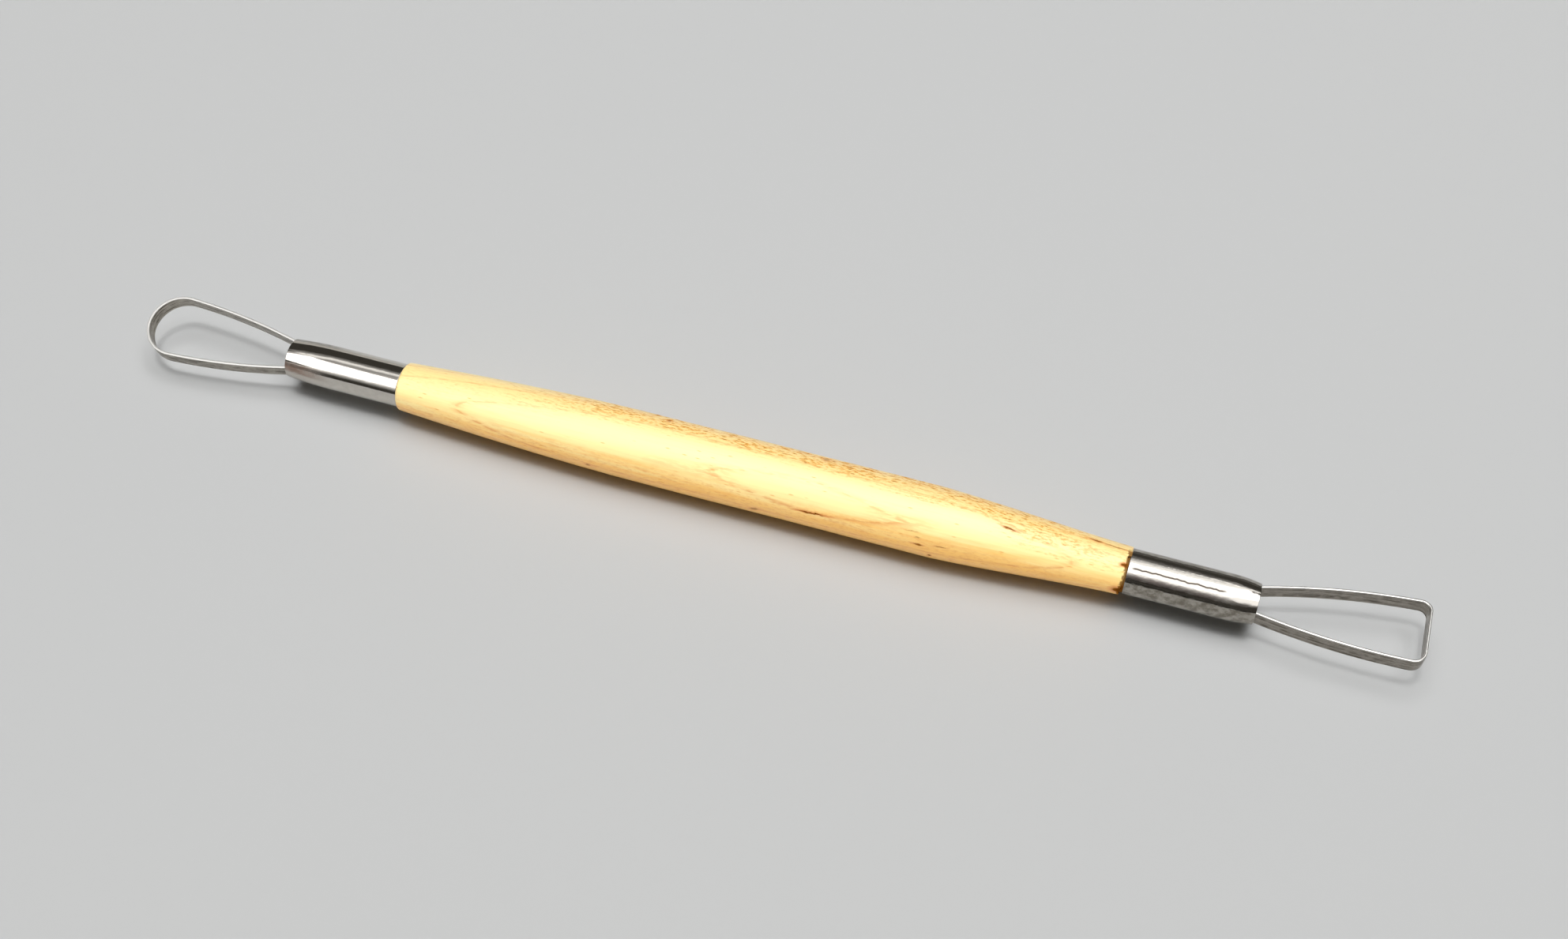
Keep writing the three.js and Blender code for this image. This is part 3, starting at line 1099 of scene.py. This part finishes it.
def scratch_share(tree, place, back, turn):
    """1 on the scratch, 0 away from it. Dirt lies in a thin line with softer sides."""
    across = add(tree, MINUS, turn, SCRATCH_ANGLE)
    across = add(tree, TIMES, across, math.radians(SQUARE.radius / MM))
    wave = pattern(tree, place, (1.429, ALL_ROUND, ALL_ROUND))
    wave = add(tree, SCALE, wave, 0.3, 0.7, -SCRATCH_WANDER, SCRATCH_WANDER)
    off = add(tree, "Math ABSOLUTE", add(tree, PLUS, across, wave))
    line = add(tree, RAMP, off, *SCRATCH_LINE, 1.0, 0.0)
    sides = add(tree, RAMP, off, *SCRATCH_SIDES, 0.52, 0.0)
    first_taper, last_taper = SCRATCH_TAPERS
    return chained(
        tree,
        TIMES,
        add(tree, LARGER, line, sides),
        add(tree, RAMP, back, SCRATCH_START, SCRATCH_START - first_taper),
        add(tree, RAMP, back, SCRATCH_END + last_taper, SCRATCH_END, 1.0, 0.0),
    )


# From where to where painted shade, the painted reflection and the brown stain on the ferrules set in or
# fade out: angles in degrees from the top towards the near side, and places in millimetres behind the
# nose.
LOW_SHADE_ANGLES = (52.0, 64.0)
HIGH_SHADE_ANGLES = (-22.0, -34.0)
HIGH_SHADE_BACK = (10.85, 4.85)
REFLECTION_TOP = (34.0, 44.0)
REFLECTION_FOOT = (56.0, 50.0)
REFLECTION_BACK = (8.85, 3.85)
BROWN_TOP = (42.0, 54.0)
BROWN_FOOT = (84.0, 73.0)
BROWN_BACK = (9.0, 2.5)


def low_shade_share(tree, smudge, turn):
    """Share of painted shade low down on a ferrule's near side, patchy: it darkens what the steel mirrors
    there.
    """
    low = add(tree, RAMP, turn, *LOW_SHADE_ANGLES)
    return add(tree, TIMES, low, add(tree, RAMP, smudge, 0.35, 0.65, 1.0, 0.55))


def high_shade_share(tree, smudge, turn):
    """Share of painted shade high up on the far side, patchy: it darkens what the steel mirrors there."""
    high = add(tree, RAMP, turn, *HIGH_SHADE_ANGLES)
    return add(tree, TIMES, high, add(tree, RAMP, smudge, 0.35, 0.65, 0.45, 0.85))


def painted_reflection_share(tree, smudge, back, turn):
    """Share of the painted reflection on the square ferrule's near side: a brown violet band, full near
    the shoulder, that stands in for the warm room the steel mirrors.
    """
    return chained(
        tree,
        TIMES,
        add(tree, RAMP, turn, *REFLECTION_TOP, 0.0, 0.55),
        add(tree, RAMP, turn, *REFLECTION_FOOT),
        add(tree, RAMP, back, *REFLECTION_BACK, 1.0, 0.3),
        add(tree, RAMP, smudge, 0.35, 0.6, 0.5, 1.0),
    )


def stained_share(tree, smudge, back, turn):
    """Share of the brown stain behind the teardrop ferrule's nose, on the near side."""
    return chained(
        tree,
        TIMES,
        add(tree, RAMP, turn, *BROWN_TOP),
        add(tree, RAMP, turn, *BROWN_FOOT, 0.15, 1.0),
        add(tree, RAMP, back, *BROWN_BACK),
        add(tree, RAMP, smudge, 0.3, 0.6, 0.6, 1.0),
    )


def polished_steel_material(end):
    """Stainless steel tube, drawn and buffed: a warm bright mirror with faint lengthwise lines,
    slight waves left by drawing, dull brownish handling smudges, and patches of painted shade that
    darken what it mirrors; the square ferrule also has a painted brown violet reflection."""
    tree, material = new_material(f"polished stainless steel, {end.name}")
    if not tree:
        return material
    sizes = bpy.context.scene.ribbon_tool_ferrules
    place = millimetre_place(tree)
    x, turn = along_and_about(tree, place)
    back = add(tree, TIMES, add(tree, MINUS, end.nose / MM, x), end.side)
    smudge = pattern(tree, place, (1.429, 1.111, 1.111), detail=4.0, roughness=0.65)
    lines = pattern(tree, place, (12.5, 0.143, 0.143))
    waves = pattern(tree, place, (2.222, 1.25, 1.25), detail=1.0)
    smudges_and_shade = add(tree, RAMP, smudge, 0.55, 0.8, 0.0, 0.25)
    # Painted shade low on the near side and high on the far side, drawn in the smear colour.
    low_shade = low_shade_share(tree, smudge, turn)
    high_shade = high_shade_share(tree, smudge, turn)
    dull = add(tree, RAMP, lines, 0.3, 0.7, 0.06, 0.1)
    dull = add(tree, PLUS, dull, add(tree, RAMP, smudge, 0.5, 0.8, 0.0, 0.05))
    relief = add(tree, PLUS, add(tree, TIMES, waves, WAVE_RELIEF), add(tree, TIMES, lines, LINE_RELIEF))
    if end is SQUARE:
        # Handling smudges join the painted shade; the brown violet band is a painted reflection, and the
        # scratch holds dirt.
        smudges_and_shade = chained(tree, LARGER, smudges_and_shade, low_shade, high_shade)
        tinted_layers = (
            (painted_reflection_share(tree, smudge, back, turn), sizes.painted_reflection),
            (scratch_share(tree, place, back, turn), sizes.scratch),
        )
        dull = add(tree, PLUS, dull, 0.03)
        ripple = pattern(tree, place, (1.111, 0.625, 0.625), detail=3.0, roughness=0.6)
        relief = add(tree, PLUS, relief, add(tree, TIMES, ripple, RIPPLE_RELIEF))
        metal = 1.0
    else:
        # On the teardrop ferrule the painted shade high on the far side stays near the nose, and the
        # painted shade low on the near side is a quarter as strong.
        high_shade = add(tree, TIMES, high_shade, add(tree, RAMP, back, *HIGH_SHADE_BACK))
        smudges_and_shade = chained(tree, LARGER, smudges_and_shade, high_shade, add(tree, TIMES, low_shade, 0.25))
        brown = stained_share(tree, smudge, back, turn)
        tinted_layers = ((brown, sizes.brown),)
        metal = add(tree, RAMP, brown, 0.0, 1.0, 1.0, 0.55)
    shader = add(tree, "BsdfPrincipled", named={
        "Base Color": layered(tree, sizes.steel, ((smudges_and_shade, sizes.smear_and_shade), *tinted_layers)),
        "Metallic": metal,
        "Roughness": dull,
        "Normal": add(tree, "Bump", named={"Strength": 0.5, "Distance": 0.01 * MM, "Height": relief}),
    })
    add(tree, "OutputMaterial", shader)
    return material


# How much rougher the ribbons' ground edges are than their sides: the teardrop's have been handled.
WORN_EDGE = 0.2
FRESH_EDGE = -0.1


def spring_steel_material(end):
    """Spring steel strip, ground lengthwise: satin grey brown with fine lines that run along the
    strip, and bright metal on the edges, which were ground last."""
    tree, material = new_material(f"ground spring steel, {end.name}")
    if not tree:
        return material
    sizes = bpy.context.scene.ribbon_tool_ribbons
    place = millimetre_place(tree, roll_of(end))
    up = add(tree, "SeparateXYZ", place)["Z"]
    lines = pattern(tree, place, (8.333, 8.333, 0.25), detail=4.0, roughness=0.6)
    patches = pattern(tree, place, (1.667, 1.667, 0.909), detail=4.0, roughness=0.6)
    patches = add(tree, RAMP, patches, 0.36, 0.62, 0.15, 1.0)
    streaks = add(tree, TIMES, add(tree, RAMP, lines, 0.36, 0.64), patches)
    half = sizes.width / 2 / MM
    edge = add(tree, RAMP, add(tree, "Math ABSOLUTE", up), half - 0.16, half - 0.06)
    ground = sizes.paler if end is TEARDROP else sizes.steel
    edge_dull = WORN_EDGE if end is TEARDROP else FRESH_EDGE
    dull = add(tree, RAMP, lines, 0.35, 0.7, 0.24, 0.4)
    shader = add(tree, "BsdfPrincipled", named={
        "Base Color": layered(tree, ground, ((streaks, sizes.streak), (edge, sizes.bright))),
        "Metallic": 1.0,
        "Roughness": add(tree, PLUS, dull, add(tree, TIMES, edge, edge_dull)),
        "Normal": add(tree, "Bump", named={"Strength": 0.4, "Distance": 0.01 * MM, "Height": lines}),
    })
    add(tree, "OutputMaterial", shader)
    return material


def epoxy_material():
    """Two-part epoxy cement, pressed in and left to set: dull brown grey, lumpy, with pale dust."""
    tree, material = new_material("set epoxy cement")
    if not tree:
        return material
    paste = bpy.context.scene.ribbon_tool_cement.paste
    dust = [min(1, 1.9 * channel) for channel in paste]
    lumps = pattern(tree, millimetre_place(tree), (0.625, 0.625, 0.625), detail=5.0, roughness=0.65)
    shader = add(tree, "BsdfPrincipled", named={
        "Base Color": add(tree, BLEND, add(tree, RAMP, lumps, 0.45, 0.75), paste, dust),
        "Roughness": add(tree, RAMP, lumps, 0.3, 0.7, 0.55, 0.8),
        "IOR": 1.55,
        "Normal": add(tree, "Bump", named={"Strength": 0.6, "Distance": 0.08 * MM, "Height": lumps}),
    })
    add(tree, "OutputMaterial", shader)
    return material


def board_material():
    """Painted board, rolled: even matt grey."""
    tree, material = new_material("matt painted board")
    if not tree:
        return material
    shader = add(tree, "BsdfPrincipled", named={
        "Base Color": bpy.context.scene.ribbon_tool_stage.floor,
        "Roughness": 0.8,
        "IOR": 1.45,
        "Specular IOR Level": 0.2,
    })
    add(tree, "OutputMaterial", shader)
    return material


# Stage


def build_floor(half=6.0):
    """A plain board, wide enough to have no edge in any view."""
    corners = [(-half, -half, 0), (half, -half, 0), (half, half, 0), (-half, half, 0)]
    mesh = bpy.data.meshes.new("floor")
    mesh.from_pydata(corners, [], [(0, 1, 2, 3)])
    floor = bpy.data.objects.new("floor", mesh)
    floor.data.materials.append(board_material())
    bpy.context.scene.collection.objects.link(floor)
    return floor


# Width in millimetres of the sensor that the lens is given for.
SENSOR_WIDTH = 36


def heading_to(elevation, turn):
    """Direction from the tool to something on the near side, at an elevation and a turn."""
    return Vector((
        math.sin(turn) * math.cos(elevation),
        -math.cos(turn) * math.cos(elevation),
        math.sin(elevation),
    ))


def build_camera():
    """The camera, turned about the vertical and tilted down to the point it aims at."""
    sizes = bpy.context.scene.ribbon_tool_stage
    camera = bpy.data.objects.new("camera", bpy.data.cameras.new("camera"))
    camera.data.lens = sizes.lens
    camera.data.sensor_width = SENSOR_WIDTH
    camera.data.clip_start = 0.01
    camera.location = Vector(sizes.aim) + heading_to(sizes.pitch, sizes.turn) * sizes.distance
    camera.rotation_euler = (math.pi / 2 - sizes.pitch, 0, sizes.turn)
    bpy.context.scene.collection.objects.link(camera)
    bpy.context.scene.camera = camera


# Reflector panels over the table that only shine in steel and lacquer: from where to where across
# them, towards the far side, and along them, in shares of their height, and how bright each is.
Panel = namedtuple("Panel", "low high start end share")
REFLECTORS = (
    Panel(-1.8, -1.25, -3.6, 0.6, 0.05),
    Panel(-1.25, -1.0, -3.6, -0.46, 0.1),
    Panel(-1.0, -0.82, -3.6, -0.46, 0.18),
    Panel(-0.82, -0.68, -3.6, -0.46, 0.29),
    Panel(-0.68, -0.56, -3.6, -0.46, 0.48),
    Panel(-1.25, -1.05, -0.46, 0.6, 0.27),
    Panel(-1.05, -0.56, -0.46, 0.6, 0.58),
    Panel(-0.56, 0.11, -2.0, 0.6, 1.0),
    Panel(0.11, 0.38, -2.0, -0.5, 1.0),
    Panel(0.38, 0.51, -2.0, -0.5, 0.24),
    Panel(0.11, 0.26, -0.5, 0.1, 0.16),
    Panel(0.26, 0.35, -0.5, 0.1, 0.14),
    Panel(0.35, 0.42, -0.5, 0.1, 0.36),
    Panel(0.42, 0.52, -0.5, 0.1, 0.5),
    Panel(0.52, 0.62, -0.5, 0.1, 0.16),
    Panel(0.62, 0.75, -0.5, 0.1, 0.06),
    Panel(0.11, 0.3, 0.1, 0.9, 0.53),
    Panel(0.3, 0.4, 0.1, 0.52, 0.34),
    Panel(0.4, 0.52, 0.1, 0.52, 0.22),
    Panel(0.3, 0.46, 0.52, 0.62, 0.78),
    Panel(0.46, 0.52, 0.52, 0.62, 0.1),
    Panel(0.3, 0.52, 0.62, 0.9, 0.12),
    Panel(0.52, 0.62, 0.1, 0.9, 0.08),
    Panel(0.62, 0.9, 0.1, 0.9, 0.04),
)

# The softbox and its bright core: place and size along and across the reflectors, and height over
# them, in shares of the reflectors' height.
SOFTBOX_PLACE = (0.12, 0.09)
SOFTBOX_SIZE = 0.9
SOFTBOX_LIFT = 1.04
CORE_PLACE = (-0.033, -0.037)
CORE_SIZE = 0.21
CORE_LIFT = 1.02


def build_lamp(name, place, rotation, size, face):
    """A rectangular lamp whose face has the given brightness, whatever its size."""
    data = bpy.data.lights.new(name, "AREA")
    data.shape = "RECTANGLE"
    data.size, data.size_y = size
    data.energy = face * math.pi * data.size * data.size_y
    made = bpy.data.objects.new(name, data)
    made.location = place
    made.rotation_euler = rotation
    bpy.context.scene.collection.objects.link(made)
    return made


def overhead_lamp(name, place, size, face, lift=1.0):
    """A lamp over the table. Its place and size are along and across the reflectors, in shares of
    its height. Lamps that overlap need different lifts, or one hides the other."""
    sizes = bpy.context.scene.ribbon_tool_stage
    height = sizes.lamp_height * lift
    middle = cmath.rect(height, sizes.heading) * complex(*place)
    extent = [height * share for share in size]
    return build_lamp(name, (middle.real, middle.imag, height), (0, 0, sizes.heading), extent, face)


def build_softbox():
    """A square softbox with a small bright core. It lights wood and floor and isn't mirrored."""
    sizes = bpy.context.scene.ribbon_tool_stage
    core = sizes.core * math.pi / CORE_SIZE**2
    lamps = (
        overhead_lamp("softbox", SOFTBOX_PLACE, (SOFTBOX_SIZE, SOFTBOX_SIZE), sizes.lamp, SOFTBOX_LIFT),
        overhead_lamp("softbox_core", CORE_PLACE, (CORE_SIZE, CORE_SIZE), core, CORE_LIFT),
    )
    for lamp in lamps:
        lamp.visible_glossy = False


def build_reflectors():
    """Long panels that fade to both sides. Steel and lacquer mirror them, and they light nothing."""
    for i, panel in enumerate(REFLECTORS):
        place = ((panel.start + panel.end) / 2, (panel.low + panel.high) / 2)
        size = (panel.end - panel.start, panel.high - panel.low)
        face = bpy.context.scene.ribbon_tool_stage.glint * panel.share
        overhead_lamp(f"reflector_{i}", place, size, face).visible_diffuse = False


def build_fill(floor, distance=1.6, size=(1.6, 0.3), elevation=28, turn=5):
    """A weak lamp low on the near side that opens up the wood's shaded side, with its angles in
    degrees. It is kept off the floor, so that the tool's shadow stays dark, and steel doesn't
    mirror it."""
    elevation = math.radians(elevation)
    turn = math.radians(turn)
    face = bpy.context.scene.ribbon_tool_stage.fill * math.pi * distance**2 / (size[0] * size[1])
    rotation = (math.pi / 2 - elevation, 0, turn)
    lamp = build_lamp("fill", heading_to(elevation, turn) * distance, rotation, size, face)
    lamp.visible_glossy = False
    unlit = bpy.data.collections.new("unlit_floor")
    unlit.objects.link(floor)
    unlit.collection_objects[0].light_linking.link_state = "EXCLUDE"
    lamp.light_linking.receiver_collection = unlit


def build_room():
    """A dim room with a pale wall low down on the far side, towards the teardrop end."""
    sizes = bpy.context.scene.ribbon_tool_stage
    world = bpy.data.worlds.new("room")
    world.use_nodes = True
    tree = world.node_tree
    tree.nodes.clear()
    direction = add(tree, "SeparateXYZ", add(tree, "TexCoord")["Generated"])
    low = add(tree, RAMP, direction["Z"], 0.25, 0.32, 1.0, 0.0)
    far = add(tree, RAMP, direction["Y"], 0.1, 0.4)
    towards = add(tree, RAMP, direction["X"], 0.0, -0.3, 0.12, 1.0)
    wall = chained(tree, TIMES, low, far, towards)
    glow = add(tree, "Background", add(tree, BLEND, wall, sizes.room, sizes.wall), 1.0)
    add(tree, "OutputWorld", glow)
    bpy.context.scene.world = world


# Operators


class RIBBONTOOL_OT_stage(bpy.types.Operator):
    """Adds the camera, the floor, the soft lamps and the dim room"""

    bl_idname = "ribbon_tool.stage"
    bl_label = "Stage"

    def execute(self, context):
        build_camera()
        floor = build_floor()
        build_softbox()
        build_reflectors()
        build_fill(floor)
        build_room()
        context.scene.view_settings.view_transform = "Standard"
        return {"FINISHED"}


class RIBBONTOOL_OT_handle(bpy.types.Operator):
    """Adds the turned wooden handle with its two tenons"""

    bl_idname = "ribbon_tool.handle"
    bl_label = "Handle"

    def execute(self, context):
        build_handle()
        return {"FINISHED"}


class RIBBONTOOL_OT_ferrules(bpy.types.Operator):
    """Adds the two steel ferrules"""

    bl_idname = "ribbon_tool.ferrules"
    bl_label = "Ferrules"

    def execute(self, context):
        for end in ENDS:
            build_ferrule(end)
        return {"FINISHED"}


class RIBBONTOOL_OT_ribbons(bpy.types.Operator):
    """Adds the teardrop loop and the square loop"""

    bl_idname = "ribbon_tool.ribbons"
    bl_label = "Ribbons"

    def execute(self, context):
        for end in ENDS:
            build_ribbon(end)
        return {"FINISHED"}


class RIBBONTOOL_OT_cement(bpy.types.Operator):
    """Adds the cement that holds the ribbons' tails in the ferrules"""

    bl_idname = "ribbon_tool.cement"
    bl_label = "Cement"

    def execute(self, context):
        for end in ENDS:
            build_cement(end)
        return {"FINISHED"}


OPERATORS = (
    RIBBONTOOL_OT_stage,
    RIBBONTOOL_OT_handle,
    RIBBONTOOL_OT_ferrules,
    RIBBONTOOL_OT_ribbons,
    RIBBONTOOL_OT_cement,
)


class RIBBONTOOL_PT_panel(bpy.types.Panel):
    """Lists the tool's pieces in the sidebar"""

    bl_idname = "RIBBONTOOL_PT_panel"
    bl_label = "Ribbon Tool"
    bl_space_type = "VIEW_3D"
    bl_region_type = "UI"
    bl_category = "Ribbon Tool"

    def draw(self, context):
        for operator in OPERATORS:
            self.layout.operator(operator.bl_idname)


SIZES = {
    "ribbon_tool_handle": HandleSizes,
    "ribbon_tool_ferrules": FerruleSizes,
    "ribbon_tool_ribbons": RibbonSizes,
    "ribbon_tool_cement": CementSizes,
    "ribbon_tool_stage": StageSizes,
}


def register():
    """Registers the sizes, which the scene then holds, the operators and the panel."""
    for group in SIZES.values():
        bpy.utils.register_class(group)
    for name, group in SIZES.items():
        setattr(bpy.types.Scene, name, bpy.props.PointerProperty(type=group))
    for operator in OPERATORS:
        bpy.utils.register_class(operator)
    bpy.utils.register_class(RIBBONTOOL_PT_panel)


def unregister():
    """Takes back what register adds."""
    bpy.utils.unregister_class(RIBBONTOOL_PT_panel)
    for operator in reversed(OPERATORS):
        bpy.utils.unregister_class(operator)
    for name in SIZES:
        delattr(bpy.types.Scene, name)
    for group in reversed(SIZES.values()):
        bpy.utils.unregister_class(group)


def main():
    """Dresses the frame and sets the stage."""
    register()
    bpy.ops.ribbon_tool.stage()
    bpy.ops.ribbon_tool.handle()
    bpy.ops.ribbon_tool.ferrules()
    bpy.ops.ribbon_tool.ribbons()
    bpy.ops.ribbon_tool.cement()


if __name__ == "__main__":
    main()
